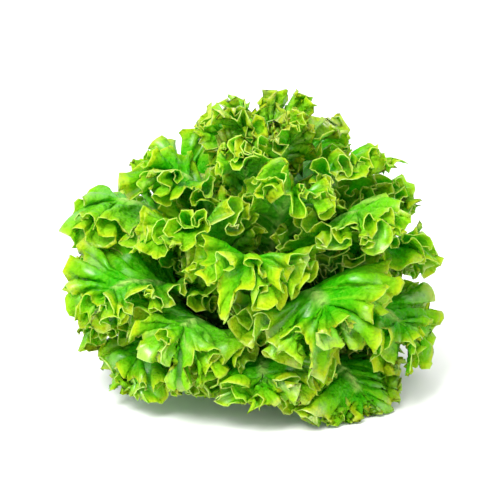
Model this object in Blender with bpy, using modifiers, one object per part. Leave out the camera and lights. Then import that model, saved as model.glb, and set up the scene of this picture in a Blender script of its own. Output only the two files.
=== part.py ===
"""A head of lollo bionda lettuce, cut for sale and standing on its stem. Metres, +Z up.

The origin is the centre of the stem's cut face, which lies on the surface z = 0.

Every leaf has a rank, from 0 at the lowest and outermost to 1 at the growing point. The midrib of
a leaf of that rank is two arcs: one rises from the stem, and a tighter one rolls the leaf's end
over into a lip. The midribs of different ranks never meet, so ranks fill the head like the layers
of an onion. A leaf's waves only shift its points to ranks that no leaf beside it uses, and so no
two leaves cross. By the golden angle, the leaf three places up overlaps only one side of a leaf,
the leaf three places down only the other, and every further one is five or more places away.
"""

import math
import random

import bmesh
import bpy
import numpy as np

# Stem: a blunt cone of pale core, cut flat below
STEM_RADIUS = 0.0155
STEM_TIP_HEIGHT = 0.056
STEM_TOP_HEIGHT = 0.040
CUT_CHAMFER = 0.0015
STEM_SIDES = 28

# Midribs, from the lowest rank to the growing point: height on the stem, then the angle from the
# vertical at the foot, where the lip starts and at the tip
ATTACHMENT = (0.0075, 0.0500)
FOOT_ANGLE = (math.radians(62), math.radians(0))
LIP_ANGLE = (math.radians(84), math.radians(3))
TIP_ANGLE = (math.radians(172), math.radians(30))
FOOT_FALL = 1.25
LIP_FALL = 1.10
TIP_FALL = 0.60
LIP_AT = 0.60

# Leaf length by rank, and the flat outline of a blade
LOW_LENGTH = 0.119
FULL_LENGTH = 0.166
FULL_LENGTH_RANK = 0.55
TOP_LENGTH = 0.167
LENGTH_SPREAD = (0.094, 0.030)
WIDEST = 0.080
WIDEST_AT = 0.66
HALF_ANGLE = math.radians(39.5)
BASE_SHARE = 0.15
TIP_BLUNTNESS = 2.5
MIDRIB_SHARE = 0.80
VEIN_SLOPE = 0.70

# Separate leaves
LEAVES = 32
FIRST_RANK = 0.030
RANK_STEP = 0.0204
RANK_GROWTH = 0.0076
GROUND_LEAVES = 3
GROUND_STEP_SHARE = 0.4
GROUND_CLEARANCE = 0.0008
GOLDEN_ANGLE = math.radians(137.508)
FIRST_TURN = math.radians(308)
BLADE_THICKNESS = 0.0012
STEM_GAP = 0.0012
COLUMNS = 48
ROW_SHARES = (0.0, 0.56, 1.0)

# Waves of a leaf's edge, as ranks up and down from its own
WAVES_BEGIN = (0.12, 0.42)
STALK_SPACING = 0.5
STEPS_FREE_NEAR = 1.36
STEPS_FREE_FAR = 2.36
NEAR_FROM = (math.radians(5), math.radians(12))
WAVES = 12
SWAY = 0.0024
LOBE_DEPTH = 0.10
LOBE_SPREAD = 0.07

# How far this head departs from an even one: it leans to +X, sags, swells and twists a little
LEAN = 0.010
LEAN_FROM = (0.045, 0.21)
LOOSE_FROM = (0.018, 0.100)
SAG = 0.0145
SAG_FROM = 0.05
SWELL = 0.0035
TWIST = 0.050

# Heart: the youngest leaves, still bunched on the growing point
HEART_LEAVES = 6
HEART_FIRST_RANK = 0.860
HEART_RANK_STEP = 0.0250
HEART_HALF_ANGLE = math.radians(64)
HEART_STEPS_FREE = 0.86
HEART_CEILING = 0.995
HEART_COLUMNS = 28
HEART_WAVES = 7
HEART_ROOT_SUNK = 0.0028
HEART_SIDES = 16
HEART_POINT_HEIGHT = 0.082
PIECE_GAP = 0.0004

SEED = 23


def clear_scene():
    for obj in list(bpy.data.objects):
        bpy.data.objects.remove(obj)


def collection(name):
    made = bpy.data.collections.new(name)
    bpy.context.scene.collection.children.link(made)
    return made


def finish(name, colour, roughness):
    material = bpy.data.materials.new(name)
    material.use_nodes = True
    shader = material.node_tree.nodes["Principled BSDF"]
    shader.inputs["Base Color"].default_value = (*colour, 1.0)
    shader.inputs["Roughness"].default_value = roughness
    shader.inputs["Metallic"].default_value = 0.0
    return material


def smoothstep(low, high, value):
    t = min(max((value - low) / (high - low), 0.0), 1.0)
    return t * t * (3.0 - 2.0 * t)


def stem_radius(height):
    return STEM_RADIUS * (1.0 - (min(height, STEM_TIP_HEIGHT) / STEM_TIP_HEIGHT) ** 2)


def leaf_length(rank):
    longer = LOW_LENGTH + (FULL_LENGTH - LOW_LENGTH) * smoothstep(0.0, FULL_LENGTH_RANK, rank)
    return longer - (FULL_LENGTH - TOP_LENGTH) * smoothstep(FULL_LENGTH_RANK, 1.0, rank)


def falling(ends, rank, power):
    """A value that goes from ends[0] at the lowest rank to ends[1] at the growing point."""
    return ends[1] + (ends[0] - ends[1]) * (1.0 - rank) ** power


def along_arc(start, end, length, part):
    """Outward and upward travel over part of an arc that turns from angle start to angle end."""
    bend = (end - start) / length
    angle = start + bend * part
    return (math.cos(start) - math.cos(angle)) / bend, (math.sin(angle) - math.sin(start)) / bend


def on_midrib(rank, travelled):
    """Distance from the axis and height, this far from the stem along the midrib of this rank."""
    rank = min(max(rank, 0.0), 1.0)
    height = falling(ATTACHMENT, rank, 1.0)
    foot = falling(FOOT_ANGLE, rank, FOOT_FALL)
    lip = falling(LIP_ANGLE, rank, LIP_FALL)
    tip = falling(TIP_ANGLE, rank, TIP_FALL)
    rise = LIP_AT * leaf_length(rank)
    roll = leaf_length(rank) - rise
    out, up = along_arc(foot, lip, rise, min(travelled, rise))
    radius = stem_radius(height) + out
    height += up
    if travelled > rise:
        out, up = along_arc(lip, tip, roll, travelled - rise)
        radius += out
        height += up
    return radius, height


def settled(radius, around, height):
    """Where a point of an even head is in this one, which leans and has sagged unevenly."""
    loose = smoothstep(*LOOSE_FROM, radius)
    lifted = smoothstep(0.0, SAG_FROM, height)
    sag = 0.6 * math.sin(2.0 * around + 22.0 * height + 0.6)
    sag += 0.4 * math.sin(5.0 * around - 31.0 * height + 2.1)
    swell = math.sin(3.0 * around + 26.0 * height + 1.0)
    twist = math.sin(2.0 * around - 40.0 * height + 4.0)
    lean = LEAN * smoothstep(*LEAN_FROM, height)
    height = max(height + SAG * loose * lifted * sag, GROUND_CLEARANCE)
    radius += SWELL * loose * swell
    around += TWIST * loose * twist
    return radius * math.cos(around) + lean, radius * math.sin(around), height


def half_width(share, width):
    """Half the flat leaf's width at this share of its length."""
    if share < WIDEST_AT:
        return width * (BASE_SHARE + (1.0 - BASE_SHARE) * smoothstep(0.04, WIDEST_AT, share))
    closing = ((share - WIDEST_AT) / (1.0 - WIDEST_AT)) ** TIP_BLUNTNESS
    return width * (1.0 - min(closing, 1.0)) ** (1.0 / TIP_BLUNTNESS)


def half_margin(rank, length, half_angle, count):
    """Points of one edge of the flat leaf, from its foot to its tip, closer where it is waved."""
    width = min(WIDEST, half_angle * on_midrib(rank, WIDEST_AT * length)[0])
    points = []
    for share in 0.5 - 0.5 * np.cos(np.linspace(0.0, math.pi, 400)):
        beside_next_leaf = half_angle * on_midrib(rank, share * length)[0]
        points.append((min(half_width(share, width), beside_next_leaf), share * length))
    points = np.array(points)
    steps = np.linalg.norm(np.diff(points, axis=0), axis=1)
    steps *= [STALK_SPACING + smoothstep(*WAVES_BEGIN, y / length) for y in points[1:, 1]]
    travelled = np.concatenate([[0.0], np.cumsum(steps)])
    even = np.linspace(0.0, travelled[-1], count)
    return np.stack([np.interp(even, travelled, points[:, k]) for k in (0, 1)], axis=1)


def leaf_sheet(name, rank, turn, half_angle, columns, near, far, ceiling, waves, root, rng):
    """One leaf as an open triangulated sheet: columns run from the midrib out to the edge."""
    length = leaf_length(rank) * (1.0 + rng.uniform(-1.0, 1.0) * falling(LENGTH_SPREAD, rank, 1.0))
    half = half_margin(rank, length, half_angle, columns // 2 + 1)
    tangents = np.gradient(half, axis=0)
    tangents /= np.linalg.norm(tangents, axis=1)[:, None]
    rows = len(ROW_SHARES) - 1
    start, drift, swell_start, uneven_start = (rng.uniform(0.0, 2.0 * math.pi) for _ in range(4))

    sheet = bmesh.new()
    bmesh.ops.create_grid(sheet, x_segments=columns, y_segments=rows, size=1.0)
    for vertex in sheet.verts:
        round_edge = vertex.co.x
        side = math.copysign(1.0, round_edge)
        out = ROW_SHARES[round((vertex.co.y + 1.0) / 2.0 * rows)]
        column = round((1.0 - abs(round_edge)) * (columns // 2))
        edge_x, edge_y = half[column]
        slant = VEIN_SLOPE * smoothstep(0.0, 0.3 * length, edge_y)
        rib_y = min(max(edge_y - slant * edge_x, 0.0), MIDRIB_SHARE * length)

        waved = smoothstep(*WAVES_BEGIN, edge_y / length) * out ** 1.5
        phase = math.pi * waves * round_edge + math.sin(2.0 * math.pi * round_edge + drift) + start
        swell = math.sin(1.7 * math.pi * round_edge + swell_start)
        uneven = math.sin(4.6 * math.pi * round_edge + uneven_start)
        wave = 0.8 * math.sin(phase) + 0.2 * swell
        cut_back = LOBE_DEPTH * (1.0 - math.sin(phase)) + LOBE_SPREAD * (1.0 + uneven)
        lobe = 1.0 - 0.5 * waved * cut_back
        sway = side * SWAY * waved * math.sin(2.0 * phase)

        across = edge_x * out * lobe + sway * tangents[column][0]
        reach = max(rib_y + (edge_y - rib_y) * out * lobe + sway * tangents[column][1], 0.0)
        turned = side * across / on_midrib(rank, reach)[0]
        beside = smoothstep(*NEAR_FROM, math.copysign(turned, turned * wave))
        room = far + (near - far) * beside
        shifted = min(rank + room * waved * wave, ceiling)
        radius, height = on_midrib(shifted, reach)
        vertex.co = settled(radius + root, turn + turned, height)
    bmesh.ops.remove_doubles(sheet, verts=sheet.verts, dist=1e-5)
    bmesh.ops.triangulate(sheet, faces=sheet.faces, quad_method="SHORT_EDGE")
    bmesh.ops.recalc_face_normals(sheet, faces=sheet.faces)

    mesh = bpy.data.meshes.new(name)
    sheet.to_mesh(mesh)
    sheet.free()
    mesh.shade_smooth()
    return bpy.data.objects.new(name, mesh)


def thicken(obj):
    skin = obj.modifiers.new("Blade thickness", "SOLIDIFY")
    skin.thickness = BLADE_THICKNESS
    skin.offset = 0.0
    skin.use_even_offset = False


def build_stem(parts, material):
    """The cut stem: its profile turned about the axis, from the flat cut to the flat top."""
    top = STEM_TOP_HEIGHT - PIECE_GAP
    heights = np.linspace(CUT_CHAMFER, top, 7)
    outline = [(stem_radius(float(h)), float(h)) for h in heights]
    outline = [(0.0, 0.0), (STEM_RADIUS - CUT_CHAMFER, 0.0), *outline, (0.0, top)]
    profile = bpy.data.meshes.new("stem")
    points = [(x, 0.0, z) for x, z in reversed(outline)]
    profile.from_pydata(points, [(i, i + 1) for i in range(len(points) - 1)], [])
    stem = bpy.data.objects.new("stem", profile)
    parts.objects.link(stem)
    turned = stem.modifiers.new("Turned profile", "SCREW")
    turned.steps = turned.render_steps = STEM_SIDES
    turned.use_merge_vertices = True
    turned.merge_threshold = 0.00001
    stem.data.materials.append(material)
    return stem


def build_leaf(index, parts, material, rng):
    step = RANK_STEP * (1.0 + 2.0 * RANK_GROWTH * index)
    rank = FIRST_RANK + RANK_STEP * index * (1.0 + RANK_GROWTH * index)
    if index < GROUND_LEAVES:
        rank = FIRST_RANK + RANK_STEP * index * GROUND_STEP_SHARE
    leaf = leaf_sheet(
        f"leaf_{index + 1:02d}",
        rank,
        FIRST_TURN + GOLDEN_ANGLE * index,
        HALF_ANGLE,
        COLUMNS,
        step * STEPS_FREE_NEAR,
        step * STEPS_FREE_FAR,
        HEART_FIRST_RANK - HEART_RANK_STEP,
        WAVES,
        STEM_GAP,
        rng,
    )
    parts.objects.link(leaf)
    leaf.data.materials.append(material)
    thicken(leaf)
    return leaf


def build_heart(parts, material, rng):
    """The youngest leaves and the growing point that they stand on, joined as one body."""
    bunch = collection("heart_leaves")
    for index in range(HEART_LEAVES):
        leaf = leaf_sheet(
            f"young_leaf_{index + 1}",
            HEART_FIRST_RANK + HEART_RANK_STEP * index,
            FIRST_TURN + GOLDEN_ANGLE * (LEAVES + index),
            HEART_HALF_ANGLE,
            HEART_COLUMNS,
            HEART_RANK_STEP * HEART_STEPS_FREE,
            HEART_RANK_STEP * HEART_STEPS_FREE,
            HEART_CEILING,
            HEART_WAVES,
            -HEART_ROOT_SUNK,
            rng,
        )
        bunch.objects.link(leaf)
        thicken(leaf)

    point = bmesh.new()
    height = HEART_POINT_HEIGHT - STEM_TOP_HEIGHT
    bmesh.ops.create_cone(
        point,
        cap_ends=True,
        segments=HEART_SIDES,
        radius1=stem_radius(STEM_TOP_HEIGHT),
        radius2=0.0020,
        depth=height,
    )
    bmesh.ops.translate(point, verts=point.verts, vec=(0.0, 0.0, STEM_TOP_HEIGHT + height / 2.0))
    mesh = bpy.data.meshes.new("heart")
    point.to_mesh(mesh)
    point.free()
    heart = bpy.data.objects.new("heart", mesh)
    parts.objects.link(heart)
    heart.data.materials.append(material)

    joined = heart.modifiers.new("Leaves on the growing point", "BOOLEAN")
    joined.operation = "UNION"
    joined.operand_type = "COLLECTION"
    joined.collection = bunch
    joined.solver = "MANIFOLD"
    bpy.context.view_layer.update()
    graph = bpy.context.evaluated_depsgraph_get()
    whole = bpy.data.meshes.new_from_object(heart.evaluated_get(graph))
    heart.modifiers.clear()
    heart.data = whole
    for leaf in list(bunch.objects):
        bpy.data.objects.remove(leaf)
    bpy.data.collections.remove(bunch)
    return heart


def main():
    clear_scene()
    rng = random.Random(SEED)
    parts = collection("lollo_bionda_lettuce")
    build_stem(parts, finish("stem_flesh", (0.74, 0.80, 0.50), 0.45))
    green = finish("leaf_green", (0.16, 0.43, 0.02), 0.38)
    for index in range(LEAVES):
        build_leaf(index, parts, green, rng)
    build_heart(parts, finish("heart_green", (0.42, 0.62, 0.08), 0.38), rng)


main()
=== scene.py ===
import math
import random

import bmesh
import bpy
import numpy as np
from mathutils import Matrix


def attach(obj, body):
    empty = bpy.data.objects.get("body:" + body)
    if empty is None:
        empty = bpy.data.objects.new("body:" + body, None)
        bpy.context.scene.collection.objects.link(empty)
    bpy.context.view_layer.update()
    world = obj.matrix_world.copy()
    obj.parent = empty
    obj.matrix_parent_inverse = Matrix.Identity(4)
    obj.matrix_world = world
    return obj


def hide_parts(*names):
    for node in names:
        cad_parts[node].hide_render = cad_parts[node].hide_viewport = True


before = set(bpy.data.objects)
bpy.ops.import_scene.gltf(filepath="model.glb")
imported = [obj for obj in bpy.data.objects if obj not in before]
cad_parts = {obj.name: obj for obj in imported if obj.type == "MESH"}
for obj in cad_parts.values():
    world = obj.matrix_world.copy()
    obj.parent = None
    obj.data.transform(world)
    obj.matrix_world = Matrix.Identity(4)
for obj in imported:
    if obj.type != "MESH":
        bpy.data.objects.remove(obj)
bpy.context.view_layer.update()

# Stem: the short, pale, fleshy core that all the leaves grow from. It is cut flat where the head
# stands, the cut has browned at its rind, and a faint scar marks where each old leaf came away.
STEM_RADIUS = 0.0155
STEM_TIP_HEIGHT = 0.056
STEM_TOP_HEIGHT = 0.0396
CUT_CHAMFER = 0.0015
STEM_SIDES = 96
STEM_RINGS = 60
SCAR_RISE = 0.0007
SCAR_SPIRALS = ((5.0, 900.0), (8.0, -560.0))
SCARS_BEGIN = 0.004
STEM_FLESH = (0.62, 0.68, 0.36)
STEM_GREEN = (0.36, 0.50, 0.14)
CUT_PALE = (0.66, 0.62, 0.38)
CUT_BROWN = (0.30, 0.16, 0.06)
MOTTLE_SCALE = 260.0
PALING_PER_METRE = 25.0
PALING_MOTTLE = 0.3
RINGS_PER_METRE = 64.0
RINGS_MOTTLE = 0.24
CUT_PER_METRE = 400.0
STEM_ROUGHNESS = 0.55
STEM_WETNESS = 0.2
# A ramp's stops: a place, and the grey level there.
PALING = [(0.1, 0.0), (0.9, 1.0)]
RINGS = [(0.30, 0.0), (0.62, 0.25), (0.80, 0.12), (0.97, 1.0)]
CUT_ENDS = [(0.35, 1.0), (0.75, 0.0)]


class Wire:
    """A socket in a finish. Sums on it add Math nodes."""

    def __init__(self, finish, socket):
        self.finish = finish
        self.socket = socket

    def sum(self, operation, first, second):
        made = self.finish.node("Math", {"operation": operation}, {0: first, 1: second})
        return Wire(self.finish, made.outputs[0])

    def __add__(self, other):
        return self.sum("ADD", self, other)

    def __radd__(self, other):
        return self.sum("ADD", other, self)

    def __sub__(self, other):
        return self.sum("SUBTRACT", self, other)

    def __rsub__(self, other):
        return self.sum("SUBTRACT", other, self)

    def __mul__(self, other):
        return self.sum("MULTIPLY", self, other)

    def __rmul__(self, other):
        return self.sum("MULTIPLY", other, self)


class Finish:
    """A material and its nodes."""

    def __init__(self, name):
        self.material = bpy.data.materials.new(name)
        self.material.use_nodes = True
        self.material.node_tree.nodes.clear()

    def node(self, kind, settings=None, values=None):
        """Adds a node: its settings first, then the values or links of its sockets."""
        tree = self.material.node_tree
        made = tree.nodes.new("ShaderNode" + kind)
        for name, setting in (settings or {}).items():
            if name == "stops":
                ramp = made.color_ramp.elements
                for place, (position, level) in enumerate(setting):
                    stop = ramp[place] if place < 2 else ramp.new(position)
                    stop.position = position
                    stop.color = (level, level, level, 1.0)
            else:
                setattr(made, name, setting)
        for socket, value in (values or {}).items():
            if isinstance(value, Wire):
                tree.links.new(value.socket, made.inputs[socket])
            elif isinstance(value, tuple) and made.inputs[socket].type == "RGBA":
                made.inputs[socket].default_value = (*value, 1.0)
            else:
                made.inputs[socket].default_value = value
        return made

    def wire(self, kind, output, settings=None, values=None):
        return Wire(self, self.node(kind, settings, values).outputs[output])

    def band(self, value, stops):
        """The value read through a ramp of grey levels."""
        return self.wire("ValToRGB", "Color", {"stops": stops}, {"Fac": value})

    def mixed(self, share, first, second):
        """One colour turning into another."""
        settings = {"data_type": "RGBA"}
        return self.wire("Mix", 2, settings, {0: share, 6: first, 7: second})

    def noise(self, place, scale, detail):
        values = {"Vector": place, "Scale": scale, "Detail": detail}
        return self.wire("TexNoise", "Fac", None, values)

    def show(self, shader, output="BSDF"):
        self.node("OutputMaterial", None, {"Surface": Wire(self, shader.outputs[output])})
        return self.material


def stem_finish():
    finish = Finish("stem_flesh")
    place = finish.wire("TexCoord", "Object")
    height = finish.wire("SeparateXYZ", "Z", None, {0: place})
    without_height = {0: place, 1: (1.0, 1.0, 0.0)}
    flat = finish.wire("VectorMath", "Vector", {"operation": "MULTIPLY"}, without_height)
    spread = finish.wire("VectorMath", "Value", {"operation": "LENGTH"}, {0: flat})
    mottle = finish.noise(place, MOTTLE_SCALE, 4.0)
    paling = finish.band(height * PALING_PER_METRE + mottle * PALING_MOTTLE, PALING)
    side = finish.mixed(paling, STEM_GREEN, STEM_FLESH)
    shifted = spread * RINGS_PER_METRE + mottle * RINGS_MOTTLE - RINGS_MOTTLE / 2.0
    ring = finish.band(shifted, RINGS)
    cut = finish.mixed(ring, CUT_PALE, CUT_BROWN)
    low = finish.band(height * CUT_PER_METRE, CUT_ENDS)
    colour = finish.mixed(low, side, cut)
    pits = {"Strength": 0.35, "Distance": 0.0006, "Height": mottle}
    bump = finish.wire("Bump", "Normal", None, pits)
    roughness = STEM_ROUGHNESS - mottle * STEM_WETNESS
    skin = {"Base Color": colour, "Roughness": roughness, "Normal": bump}
    return finish.show(finish.node("BsdfPrincipled", None, skin))


def stem_radius(height):
    return STEM_RADIUS * (1.0 - (np.minimum(height, STEM_TIP_HEIGHT) / STEM_TIP_HEIGHT) ** 2)


def finished_piece(name, mesh, finishes, node):
    """An object that stands for a CAD node, with its finishes."""
    piece = bpy.data.objects.new(name, mesh)
    bpy.context.scene.collection.objects.link(piece)
    for material in finishes:
        mesh.materials.append(material)
    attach(piece, "root")
    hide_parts(node)
    return piece


core = bmesh.new()
bmesh.ops.create_cone(
    core, cap_ends=True, segments=STEM_SIDES, radius1=STEM_RADIUS, radius2=STEM_RADIUS, depth=1.0
)
bmesh.ops.translate(core, verts=core.verts, vec=(0.0, 0.0, 0.5))
sides = [edge for edge in core.edges if abs(edge.verts[0].co.z - edge.verts[1].co.z) > 0.5]
bmesh.ops.subdivide_edges(core, edges=sides, cuts=STEM_RINGS, use_grid_fill=True)
for vertex in core.verts:
    height = vertex.co.z * STEM_TOP_HEIGHT
    around = math.atan2(vertex.co.y, vertex.co.x)
    scar = math.prod(math.sin(turns * around + climb * height) for turns, climb in SCAR_SPIRALS)
    worn = 1.0 - math.exp(-height / SCARS_BEGIN)
    radius = float(stem_radius(height)) - CUT_CHAMFER * max(0.0, 1.0 - height / CUT_CHAMFER) ** 2
    radius += SCAR_RISE * (0.5 * scar - 0.5) * worn
    vertex.co = (radius * math.cos(around), radius * math.sin(around), height)
bmesh.ops.recalc_face_normals(core, faces=core.faces)
stem_mesh = bpy.data.meshes.new("cut_stem")
core.to_mesh(stem_mesh)
core.free()
stem_mesh.shade_smooth()
finished_piece("cut_stem", stem_mesh, [stem_finish()], "stem")


# Leaves: 32 separate blades in a spiral up the stem, oldest and lowest first. Each has a thick
# pale midrib, a puckered blade that rolls over outwards, and an edge that has grown so much
# longer than the blade behind it that it is thrown into frills upon frills, with small teeth.
# Pairs of heights and angles are for the lowest leaf and for the topmost.
ATTACHMENT = (0.0075, 0.0500)
FOOT_ANGLE = (math.radians(62), math.radians(0))
LIP_ANGLE = (math.radians(84), math.radians(3))
TIP_ANGLE = (math.radians(172), math.radians(30))
FOOT_FALL = 1.25
LIP_FALL = 1.10
TIP_FALL = 0.60
LIP_AT = 0.60
LOW_LENGTH = 0.119
FULL_LENGTH = 0.166
FULL_LENGTH_RANK = 0.55
TOP_LENGTH = 0.167
LENGTH_SPREAD = (0.094, 0.030)
WIDEST = 0.080
WIDEST_AT = 0.66
HALF_ANGLE = math.radians(39.5)
BASE_SHARE = 0.15
BASE_ENDS = 0.04
TIP_BLUNTNESS = 2.5
MIDRIB_SHARE = 0.80
VEIN_SLOPE = 0.70
VEINS_SLANT_BY = 0.3
LEAVES = 32
FIRST_RANK = 0.030
RANK_STEP = 0.0204
RANK_GROWTH = 0.0076
GROUND_LEAVES = 3
GROUND_STEP_SHARE = 0.4
GOLDEN_ANGLE = math.radians(137.508)
FIRST_TURN = math.radians(308)
STEM_GAP = 0.0012
WAVES_BEGIN = (0.12, 0.42)
STALK_SPACING = 0.5
WAVES = 12
LOBE_SPREAD = 0.07
BELOW_HEART = 0.835
LEAN = 0.010
LEAN_FROM = (0.045, 0.21)
LOOSE_FROM = (0.018, 0.100)
SAG = 0.0145
SAG_FROM = 0.05
SAG_SHARES = (0.6, 0.4)
SWELL = 0.0035
TWIST = 0.050
# A wave round the head: how many to a turn, how fast they climb, and where they start.
SAG_BROAD = (2.0, 22.0, 0.6)
SAG_NARROW = (5.0, -31.0, 2.1)
SWELL_WAVE = (3.0, 26.0, 1.0)
TWIST_WAVE = (2.0, -40.0, 4.0)
SEED = 23

BLADE_COLUMNS = 600
BLADE_ROWS = 11
ROWS_CROWD = 1.5
MARGIN_SAMPLES = 400
EDGE_SAMPLES = 2001
BLADE_THICKNESS = 0.0006
RIB_THICKNESS = 0.0050
RIB_HALF_WIDTH = 0.0042
RIB_NARROWS = 0.8
RIB_ENDS = (0.70, 1.02)
FRILL_DEPTH = 1.1
WAVE_SHARES = (0.8, 0.2)
BROAD_SWELL = 1.7
UNEVEN_LOBES = 4.6
STEPS_NEAR = 1.45
STEPS_FAR = 2.30
NEAR_FROM = (math.radians(5), math.radians(12))
SWAY = 0.0046
LOBE_DEPTH = 0.10
LOBE_SHARE = 0.5
TEETH = 82
TEETH_START = 1.0
TOOTH_LENGTH = 0.0038
TOOTH_SHARPNESS = 1.9
TOOTH_SET_BACK = 0.30
TOOTH_DEPTH = 7.0
SIDE_VEINS = 15
PUCKER = 0.0008
PUCKER_BEGINS = (0.08, 0.3)
PUCKER_ENDS = 1.02
PUCKER_FULLNESS = (0.7, 0.6)
QUILT_ROWS = 26.0
QUILT_BEND = 5.0
QUILT_DRIFT = 9.0
QUILT_SHARE = 0.35
# Two sizes of pouch: how far across, and how high.
POUCHES = ((0.026, 0.0014), (0.012, 0.0012))
POUCHES_TO_RANK = 1.3
POUCHES_BEGIN = 2.0
POUCHES_FADE = (0.75, 6)
BUMP_WAVES = 7
BUMP_SPREAD = (0.8, 1.3)
BUMP_FULLNESS = 2.2
# Three orders of ruffle: how many, how high, how far sideways, and how close to the edge.
RUFFLES = ((31, 0.0062, 0.0036, 1.2), (61, 0.0027, 0.0014, 3.6), (97, 0.0011, 0.0006, 7.0))
# What makes these uneven along the edge: how many waves, and by how much.
UNEVEN_WAVES = (7.3, 0.30)
UNEVEN_TEETH = (17.0, 0.55)
UNEVEN_RUFFLES = (10.0, 0.45)
TEETH_WANDER = (9.0, 1.8)
VEIN_WANDER = (5.0, 0.35)
VEIN_BRANCHING = (11.0, 0.25)
RUFFLE_WANDER = ((4.0, 2.2), (13.0, 1.3))
RESTING_HEIGHT = 0.0009
SOFT_LANDING = 0.0020
WHOLE_TURN = 6.3
TINY = 1e-12

LEAF_DEEP = (0.032, 0.400, 0.002)
LEAF_GREEN = (0.115, 0.550, 0.003)
LEAF_EDGE = (0.530, 0.600, 0.010)
LEAF_VEIN = (0.280, 0.680, 0.015)
LEAF_RIB = (0.550, 0.760, 0.180)
LEAF_UNDER = (0.120, 0.520, 0.010)
LEAF_UNDER_EDGE = (0.400, 0.600, 0.010)
# The colour of the leaf's thin edge face: partly its own pale margin colour, partly a painted
# highlight so that the edge reads as a bright line.
PALE_RIM_AND_PAINTED_HIGHLIGHT = (0.560, 0.640, 0.060)
# The pale cream colour of a painted highlight line along the leaf edges, in place of light caught by
# the thin margin.
PAINTED_HIGHLIGHT_COLOUR = (0.74, 0.80, 0.20)
LEAF_GLOSS = (0.75, 1.0, 0.12)
LEAF_GLOW = (0.070, 0.950, 0.001)
GLOW_TINT = 0.6
GLOW_SHARE = 0.45
PATCH_SCALE = 45.0
REGION_SCALE = 15.0
CELL_SCALE = 230.0
FINE_SCALE = 900.0
BLISTER_SCALE = 135.0
BLISTER_RELIEF = 2.0
CELL_RELIEF = 0.5
FINE_RELIEF = 0.12
NET_SHARE = 0.18
EDGE_BY_PATCH = 0.30
EDGE_BY_REGION = 0.24
EDGE_SET_BACK = 0.22
LEAST_ROUGHNESS = 0.18
PATCH_ROUGHNESS = 0.36
NET_LINES = [(0.0, 1.0), (0.10, 0.0)]
FIELD_PATCHES = [(0.35, 0.0), (0.65, 1.0)]
EDGE_PALING = [(0.50, 0.0), (0.88, 0.35), (0.97, 0.75), (1.0, 0.95)]
# Where, close to the leaf edge, the painted highlight line lies.
PAINTED_HIGHLIGHT_LINE = [(0.975, 0.0), (1.0, 1.0)]
VEIN_LINES = [(0.0, 0.75), (0.22, 0.0)]
GLOSS_PATCHES = [(0.50, 0.0), (0.66, 1.0)]


def leaf_finish(name, deep, green, edge, vein, rib):
    finish = Finish(name)
    place = finish.wire("TexCoord", "Object")
    rim = finish.wire("Attribute", "Fac", {"attribute_name": "edge"})
    side_vein = finish.wire("Attribute", "Fac", {"attribute_name": "vein"})
    midrib = finish.wire("Attribute", "Fac", {"attribute_name": "midrib"})
    patches = finish.noise(place, PATCH_SCALE, 2.0)
    regions = finish.noise(place, REGION_SCALE, 1.0)
    spacing = {"Vector": place, "Scale": CELL_SCALE}
    cells = finish.wire("TexVoronoi", "Distance", {"feature": "DISTANCE_TO_EDGE"}, spacing)
    net = finish.band(cells, NET_LINES)
    field = finish.mixed(finish.band(patches, FIELD_PATCHES), deep, green)
    paling = rim + patches * EDGE_BY_PATCH + regions * EDGE_BY_REGION - EDGE_SET_BACK
    paler = finish.band(paling, EDGE_PALING)
    # Painted highlight: a thin pale line right at the leaf edge, broken up by the patches.
    painted_edge_highlight = finish.band(rim, PAINTED_HIGHLIGHT_LINE) * patches
    veined = finish.band(side_vein, VEIN_LINES)
    colour = finish.mixed(veined + net * NET_SHARE, field, vein)
    colour = finish.mixed(paler, colour, edge)
    colour = finish.mixed(painted_edge_highlight, colour, PAINTED_HIGHLIGHT_COLOUR)
    colour = finish.mixed(midrib, colour, rib)
    fine = finish.noise(place, FINE_SCALE, 2.0)
    blisters = finish.noise(place, BLISTER_SCALE, 1.0)
    height = blisters * BLISTER_RELIEF - cells * CELL_RELIEF + fine * FINE_RELIEF
    relief = {"Strength": 0.85, "Distance": 0.0032, "Height": height}
    bump = finish.wire("Bump", "Normal", None, relief)
    skin = {
        "Base Color": colour,
        "Roughness": LEAST_ROUGHNESS + patches * PATCH_ROUGHNESS,
        "Normal": bump,
        "Specular IOR Level": 0.35,
        "Specular Tint": LEAF_GLOSS,
        "Coat Weight": finish.band(patches, GLOSS_PATCHES),
        "Coat Roughness": 0.34,
        "Coat IOR": 2.1,
    }
    surface = finish.node("BsdfPrincipled", None, skin)
    through = finish.mixed(GLOW_TINT, colour, LEAF_GLOW)
    glow = finish.node("BsdfTranslucent", None, {"Color": through, "Normal": bump})
    values = {0: GLOW_SHARE, 1: Wire(finish, surface.outputs[0]), 2: Wire(finish, glow.outputs[0])}
    return finish.show(finish.node("MixShader", None, values), "Shader")


def smoothstep(low, high, value):
    t = np.clip((value - low) / (high - low), 0.0, 1.0)
    return t * t * (3.0 - 2.0 * t)


def falling(ends, rank, power):
    return ends[1] + (ends[0] - ends[1]) * (1.0 - rank) ** power


def leaf_length(rank):
    longer = LOW_LENGTH + (FULL_LENGTH - LOW_LENGTH) * smoothstep(0.0, FULL_LENGTH_RANK, rank)
    return longer - (FULL_LENGTH - TOP_LENGTH) * smoothstep(FULL_LENGTH_RANK, 1.0, rank)


def along_arc(start, end, length, part):
    bend = (end - start) / length
    angle = start + bend * part
    return (np.cos(start) - np.cos(angle)) / bend, (np.sin(angle) - np.sin(start)) / bend


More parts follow.
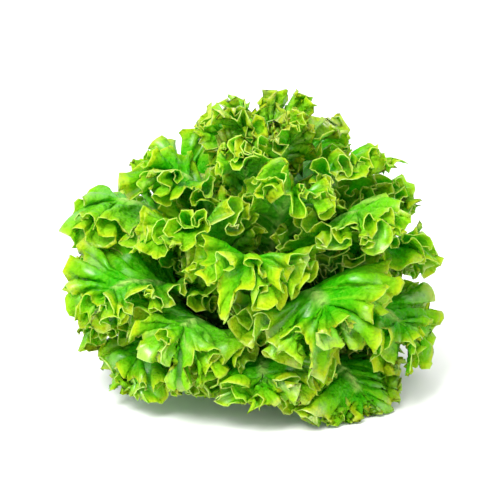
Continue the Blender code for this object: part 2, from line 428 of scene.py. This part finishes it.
def on_midrib(rank, travelled):
    """Distance from the axis and height, this far along the midrib of a leaf of this rank."""
    rank = np.clip(rank, 0.0, 1.0)
    height = falling(ATTACHMENT, rank, 1.0)
    foot = falling(FOOT_ANGLE, rank, FOOT_FALL)
    lip = falling(LIP_ANGLE, rank, LIP_FALL)
    tip = falling(TIP_ANGLE, rank, TIP_FALL)
    rise = LIP_AT * leaf_length(rank)
    roll = leaf_length(rank) - rise
    out, up = along_arc(foot, lip, rise, np.minimum(travelled, rise))
    over, down = along_arc(lip, tip, roll, np.maximum(travelled - rise, 0.0))
    return stem_radius(height) + out + over, height + up + down


def wave_round(wave, around, height):
    turns, climb, start = wave
    return np.sin(turns * around + climb * height + start)


def settled(radius, around, height):
    """Where a point of an even head is in this one, which leans and has sagged unevenly."""
    loose = smoothstep(*LOOSE_FROM, radius)
    lifted = smoothstep(0.0, SAG_FROM, height)
    sag = SAG_SHARES[0] * wave_round(SAG_BROAD, around, height)
    sag = sag + SAG_SHARES[1] * wave_round(SAG_NARROW, around, height)
    swell = wave_round(SWELL_WAVE, around, height)
    twist = wave_round(TWIST_WAVE, around, height)
    lean = LEAN * smoothstep(*LEAN_FROM, height)
    height = height + SAG * loose * lifted * sag
    radius = radius + SWELL * loose * swell
    around = around + TWIST * loose * twist
    return np.stack([radius * np.cos(around) + lean, radius * np.sin(around), height], axis=2)


def half_width(share, width):
    growing = width * (BASE_SHARE + (1.0 - BASE_SHARE) * smoothstep(BASE_ENDS, WIDEST_AT, share))
    closing = np.clip((share - WIDEST_AT) / (1.0 - WIDEST_AT), 0.0, 1.0) ** TIP_BLUNTNESS
    return np.where(share < WIDEST_AT, growing, width * (1.0 - closing) ** (1.0 / TIP_BLUNTNESS))


def half_margin(rank, length, half_angle, places):
    """Across and along for one edge of the flat leaf at these places, 0 its foot and 1 its tip."""
    width = min(WIDEST, half_angle * float(on_midrib(rank, WIDEST_AT * length)[0]))
    shares = 0.5 - 0.5 * np.cos(np.linspace(0.0, math.pi, MARGIN_SAMPLES))
    across = np.minimum(half_width(shares, width), half_angle * on_midrib(rank, shares * length)[0])
    along = shares * length
    steps = np.hypot(np.diff(across), np.diff(along))
    steps *= STALK_SPACING + smoothstep(*WAVES_BEGIN, along[1:] / length)
    travelled = np.concatenate([[0.0], np.cumsum(steps)]) / np.sum(steps)
    return np.interp(places, travelled, across), np.interp(places, travelled, along)


def grid_directions(points):
    """Unit vectors round the edge, out to it and up from the sheet, at each point of its grid."""
    round_edge = np.gradient(points, axis=0)
    outward = np.gradient(points, axis=1)
    round_edge /= np.linalg.norm(round_edge, axis=2, keepdims=True) + TINY
    outward /= np.linalg.norm(outward, axis=2, keepdims=True) + TINY
    upper = np.cross(outward, round_edge)
    upper /= np.linalg.norm(upper, axis=2, keepdims=True) + TINY
    return round_edge, outward, upper


def soft_bumps(points, across, seed):
    """An uneven swelling from -1 to 1 through space, in bumps about this far across."""
    pick = np.random.default_rng(seed)
    total = np.zeros(points.shape[:2])
    for _ in range(BUMP_WAVES):
        way = pick.normal(size=3)
        way *= 2.0 * math.pi / (across * pick.uniform(*BUMP_SPREAD) * np.linalg.norm(way))
        total += np.sin(points @ way + pick.uniform(0.0, WHOLE_TURN))
    return np.tanh(total / BUMP_FULLNESS)


def ripple(x, waves, start):
    """A wave along the edge, from one foot of the leaf round its tip to the other."""
    return np.sin(waves * math.pi * x + start)


def wander(x, kind, folds):
    """How far something is shifted along the edge, more in some places than in others."""
    waves, amount = kind
    return amount * ripple(x, waves, folds.uniform(0.0, WHOLE_TURN))


def unevenly(x, kind, folds):
    return 1.0 + wander(x, kind, folds)


def frilled_surface(
    rank, turn, half_angle, columns, rows, near, far, ceiling, waves, root, draws, folds
):
    """Points of a leaf's grid, and how near each is to the edge, a side vein and the midrib."""
    longer = draws.uniform(-1.0, 1.0) * falling(LENGTH_SPREAD, rank, 1.0)
    length = float(leaf_length(rank)) * (1.0 + longer)
    start, drift, swell_start, uneven_start = (draws.uniform(0.0, 2.0 * math.pi) for _ in range(4))

    x = np.linspace(-1.0, 1.0, columns + 1)[:, None]
    out = (1.0 - (1.0 - np.linspace(0.0, 1.0, rows + 1)) ** ROWS_CROWD)[None, :]
    side = np.where(x < 0.0, -1.0, 1.0)
    place = 1.0 - np.abs(x[:, 0])
    samples = np.linspace(0.0, 1.0, EDGE_SAMPLES)
    edge_x, edge_y = half_margin(rank, length, half_angle, place)
    fine_x, fine_y = half_margin(rank, length, half_angle, samples)
    slope_x, slope_y = np.gradient(fine_x), np.gradient(fine_y)
    slope = np.hypot(slope_x, slope_y)
    along_x = np.interp(place, samples, slope_x / slope)[:, None]
    along_y = np.interp(place, samples, slope_y / slope)[:, None]
    edge_x, edge_y = edge_x[:, None], edge_y[:, None]
    slant = VEIN_SLOPE * smoothstep(0.0, VEINS_SLANT_BY * length, edge_y)
    rib_y = np.clip(edge_y - slant * edge_x, 0.0, MIDRIB_SHARE * length)

    begun = smoothstep(*WAVES_BEGIN, edge_y / length)
    waved = begun * out ** FRILL_DEPTH
    phase = math.pi * waves * x + ripple(x, 2.0, drift) + start
    swell = ripple(x, BROAD_SWELL, swell_start)
    uneven = ripple(x, UNEVEN_LOBES, uneven_start)
    waving = WAVE_SHARES[0] * np.sin(phase) * unevenly(x, UNEVEN_WAVES, folds)
    wave = waving + WAVE_SHARES[1] * swell
    cut_back = LOBE_DEPTH * (1.0 - np.sin(phase)) + LOBE_SPREAD * (1.0 + uneven)
    lobe = 1.0 - LOBE_SHARE * waved * cut_back
    sway = side * SWAY * waved * np.sin(2.0 * phase)

    teeth_phase = TEETH * math.pi * x + wander(x, TEETH_WANDER, folds)
    pointed = (1.0 - np.abs(np.sin(0.5 * teeth_phase + TEETH_START))) ** TOOTH_SHARPNESS
    tooth = (pointed - TOOTH_SET_BACK) * TOOTH_LENGTH
    tooth = tooth * unevenly(x, UNEVEN_TEETH, folds)
    tooth = tooth * begun * out ** TOOTH_DEPTH
    across = edge_x * out * lobe + sway * along_x
    reach = rib_y + (edge_y - rib_y) * out * lobe + sway * along_y
    reach = np.maximum(reach, 0.0)
    turned = side * across / on_midrib(rank, reach)[0]
    beside = smoothstep(*NEAR_FROM, turned * np.sign(wave))
    shifted = np.minimum(rank + (far + (near - far) * beside) * waved * wave, ceiling)
    radius, height = on_midrib(shifted, reach)
    points = settled(radius + root, turn + turned, height)

    branches, branching = VEIN_BRANCHING
    vein_phase = SIDE_VEINS * x + wander(x, VEIN_WANDER, folds)
    branch_start = folds.uniform(0.0, WHOLE_TURN)
    vein_phase = vein_phase + branching * out * ripple(x, branches, branch_start)
    between = np.abs(np.sin(math.pi * vein_phase))
    bent = QUILT_BEND * np.sin(math.pi * vein_phase)
    quilting = np.sin(QUILT_ROWS * out + bent + QUILT_DRIFT * x) * between
    full_veins, full_ends = PUCKER_FULLNESS
    inside = np.sin(math.pi * np.clip(out * PUCKER_ENDS, 0.0, 1.0)) ** full_ends
    raised = (between ** full_veins + QUILT_SHARE * quilting) * inside
    puckered = PUCKER * raised * smoothstep(*PUCKER_BEGINS, edge_y / length)
    _, _, upper = grid_directions(points)
    points = points + upper * puckered[:, :, None]

    faded, fade_depth = POUCHES_FADE
    for level, (across_pouch, rise) in enumerate(POUCHES):
        _, _, upper = grid_directions(points)
        bumps = soft_bumps(points, across_pouch, level)
        pouched = bumps * rise * (POUCHES_TO_RANK - rank) * begun
        pouched = pouched * np.minimum(out * POUCHES_BEGIN, 1.0)
        pouched = pouched * (1.0 - faded * out ** fade_depth)
        points = points + upper * pouched[:, :, None]

    for count, rise, slide, depth in RUFFLES:
        round_edge, _, upper = grid_directions(points)
        turns = count * math.pi * x
        for kind in RUFFLE_WANDER:
            turns = turns + wander(x, kind, folds)
        weight = begun * unevenly(x, UNEVEN_RUFFLES, folds) * out ** depth
        points = points + upper * (rise * weight * np.sin(turns))[:, :, None]
        points = points - round_edge * (slide * weight * np.sin(2.0 * turns))[:, :, None]
    _, outward, _ = grid_directions(points)
    points = points + outward * tooth[:, :, None]
    above = (points[:, :, 2] - RESTING_HEIGHT) / SOFT_LANDING
    points[:, :, 2] = RESTING_HEIGHT + SOFT_LANDING * np.logaddexp(0.0, above)

    rib_width = RIB_HALF_WIDTH * (1.0 - RIB_NARROWS * np.clip(reach / length, 0.0, 1.0))
    from_rib = np.where(out > 0.0, np.hypot(edge_x * out, (edge_y - rib_y) * out), 0.0)
    ribbed = np.exp(-(from_rib / rib_width) ** 2)
    ribbed = ribbed * (1.0 - smoothstep(*RIB_ENDS, reach / length))
    values = {
        "edge": out * begun + np.zeros_like(x),
        "vein": between,
        "midrib": ribbed,
    }
    return points, values


def blade_sheet(points, values):
    """The grid of a leaf as an open sheet in a bmesh, with its values as attributes."""
    columns, rows = points.shape[0] - 1, points.shape[1] - 1
    sheet = bmesh.new()
    layers = {name: sheet.verts.layers.float.new(name) for name in values}
    bmesh.ops.create_grid(sheet, x_segments=columns, y_segments=rows, size=1.0)
    for vertex in sheet.verts:
        i = round((vertex.co.x + 1.0) / 2.0 * columns)
        j = round((vertex.co.y + 1.0) / 2.0 * rows)
        vertex.co = points[i, j]
        for name, layer in layers.items():
            vertex[layer] = values[name][i, j]
    bmesh.ops.remove_doubles(sheet, verts=sheet.verts, dist=1e-6)
    bmesh.ops.recalc_face_normals(sheet, faces=sheet.faces)
    return sheet


def blade_piece(name, sheet, finishes, node):
    """The sheet given its thickness, which is greatest along the midrib."""
    mesh = bpy.data.meshes.new(name)
    sheet.to_mesh(mesh)
    sheet.free()
    mesh.shade_smooth()
    piece = finished_piece(name, mesh, finishes, node)
    ribs = np.zeros(len(mesh.vertices), np.float32)
    mesh.attributes["midrib"].data.foreach_get("value", ribs)
    group = piece.vertex_groups.new(name="thickness")
    least = BLADE_THICKNESS / RIB_THICKNESS
    for index, rib in enumerate(ribs):
        group.add([index], least + (1.0 - least) * float(rib), "REPLACE")
    skin = piece.modifiers.new("Blade thickness", "SOLIDIFY")
    skin.thickness = RIB_THICKNESS
    skin.offset = 0.0
    skin.use_even_offset = False
    skin.vertex_group = "thickness"
    skin.material_offset = 1
    skin.material_offset_rim = 2


leaf_upper = leaf_finish("leaf_upper_side", LEAF_DEEP, LEAF_GREEN, LEAF_EDGE, LEAF_VEIN, LEAF_RIB)
leaf_under = leaf_finish(
    "leaf_under_side", LEAF_GREEN, LEAF_UNDER, LEAF_UNDER_EDGE, LEAF_RIB, LEAF_RIB
)
# The edge face of the leaves: pale margin colour, made paler as a painted highlight line.
leaf_rim = leaf_finish("leaf_cut_edge", LEAF_UNDER_EDGE, LEAF_EDGE, PALE_RIM_AND_PAINTED_HIGHLIGHT, LEAF_RIB, LEAF_RIB)

draws = random.Random(SEED)
fold_draws = random.Random(SEED + 1)
for index in range(LEAVES):
    step = RANK_STEP * (1.0 + 2.0 * RANK_GROWTH * index)
    rank = FIRST_RANK + RANK_STEP * index * (1.0 + RANK_GROWTH * index)
    if index < GROUND_LEAVES:
        rank = FIRST_RANK + RANK_STEP * index * GROUND_STEP_SHARE
    surface = frilled_surface(
        rank,
        FIRST_TURN + GOLDEN_ANGLE * index,
        HALF_ANGLE,
        BLADE_COLUMNS,
        BLADE_ROWS,
        step * STEPS_NEAR,
        step * STEPS_FAR,
        BELOW_HEART,
        WAVES,
        STEM_GAP,
        draws,
        fold_draws,
    )
    node = f"leaf_{index + 1:02d}"
    sheet = blade_sheet(*surface)
    blade_piece(f"frilled_{node}", sheet, [leaf_upper, leaf_under, leaf_rim], node)


# Heart: the six youngest leaves, still bunched on the growing point in the middle of the head.
# They are smaller and yellower than the rest, because less light has reached them.
HEART_LEAVES = 6
HEART_FIRST_RANK = 0.860
HEART_RANK_STEP = 0.0250
HEART_HALF_ANGLE = math.radians(64)
HEART_STEPS_FREE = 1.6
HEART_CEILING = 0.995
HEART_COLUMNS = 260
HEART_ROWS = 14
HEART_WAVES = 7
HEART_ROOT_SUNK = 0.0028
HEART_GREEN = (0.240, 0.560, 0.015)

heart_upper = leaf_finish("heart_upper_side", LEAF_GREEN, HEART_GREEN, LEAF_EDGE, LEAF_RIB, LEAF_RIB)
whole = bmesh.new()
for index in range(HEART_LEAVES):
    surface = frilled_surface(
        HEART_FIRST_RANK + HEART_RANK_STEP * index,
        FIRST_TURN + GOLDEN_ANGLE * (LEAVES + index),
        HEART_HALF_ANGLE,
        HEART_COLUMNS,
        HEART_ROWS,
        HEART_RANK_STEP * HEART_STEPS_FREE,
        HEART_RANK_STEP * HEART_STEPS_FREE,
        HEART_CEILING,
        HEART_WAVES,
        -HEART_ROOT_SUNK,
        draws,
        fold_draws,
    )
    sheet = blade_sheet(*surface)
    young = bpy.data.meshes.new("young_leaf")
    sheet.to_mesh(young)
    sheet.free()
    whole.from_mesh(young)
    bpy.data.meshes.remove(young)
blade_piece("frilled_heart", whole, [heart_upper, heart_upper, leaf_rim], "heart")


# Studio: a white floor that runs out of sight under white light from all round. One large soft
# lamp, above, in front and to the left, leaves only a faint shadow at the foot of the head.
FLOOR_REACH = 6.0
PAPER_WHITE = (0.9, 0.9, 0.9)
LIGHT_ALL_ROUND = 1.44
LAMP_PLACE = (-0.45, -0.90, 1.30)
LAMP_TARGET = (0.0, 0.0, 0.1)
LAMP_SIZE = 0.75
LAMP_POWER = 32.0

floor_shape = bmesh.new()
bmesh.ops.create_grid(floor_shape, x_segments=1, y_segments=1, size=FLOOR_REACH)
floor_mesh = bpy.data.meshes.new("floor")
floor_shape.to_mesh(floor_mesh)
floor_shape.free()
floor = bpy.data.objects.new("floor", floor_mesh)
bpy.context.scene.collection.objects.link(floor)
paper = Finish("white_paper")
matt = paper.node("BsdfPrincipled", None, {"Base Color": PAPER_WHITE, "Roughness": 0.9})
floor_mesh.materials.append(paper.show(matt))

world = bpy.data.worlds.new("white_studio")
world.use_nodes = True
world.node_tree.nodes["Background"].inputs["Color"].default_value = (1.0, 1.0, 1.0, 1.0)
world.node_tree.nodes["Background"].inputs["Strength"].default_value = LIGHT_ALL_ROUND
bpy.context.scene.world = world

light = bpy.data.lights.new("overhead_lamp", "AREA")
light.size = LAMP_SIZE
light.energy = LAMP_POWER
lamp = bpy.data.objects.new("overhead_lamp", light)
lamp.location = LAMP_PLACE
to_right, to_back, upwards = np.array(LAMP_TARGET) - np.array(LAMP_PLACE)
lamp_tilt = math.atan2(math.hypot(to_right, to_back), -upwards)
lamp.rotation_euler = (lamp_tilt, 0.0, -math.atan2(to_right, to_back))
bpy.context.scene.collection.objects.link(lamp)


# Camera: straight in front of the head and about 16 degrees above the level, as in the
# photograph. A long lens from some way off keeps the near leaves from looking too large.
CAMERA_RISE = math.radians(16)
CAMERA_DISTANCE = 1.3
CAMERA_LENS = 129.5
CAMERA_SENSOR = 36.0
LOOK_AT = (-0.0030, 0.0, 0.096)

view = bpy.data.cameras.new("camera")
view.lens = CAMERA_LENS
view.sensor_width = CAMERA_SENSOR
camera = bpy.data.objects.new("camera", view)
camera.location = (
    LOOK_AT[0],
    LOOK_AT[1] - CAMERA_DISTANCE * math.cos(CAMERA_RISE),
    LOOK_AT[2] + CAMERA_DISTANCE * math.sin(CAMERA_RISE),
)
camera.rotation_euler = (math.pi / 2 - CAMERA_RISE, 0.0, 0.0)
bpy.context.scene.collection.objects.link(camera)
bpy.context.scene.camera = camera
bpy.context.scene.view_settings.view_transform = "Standard"
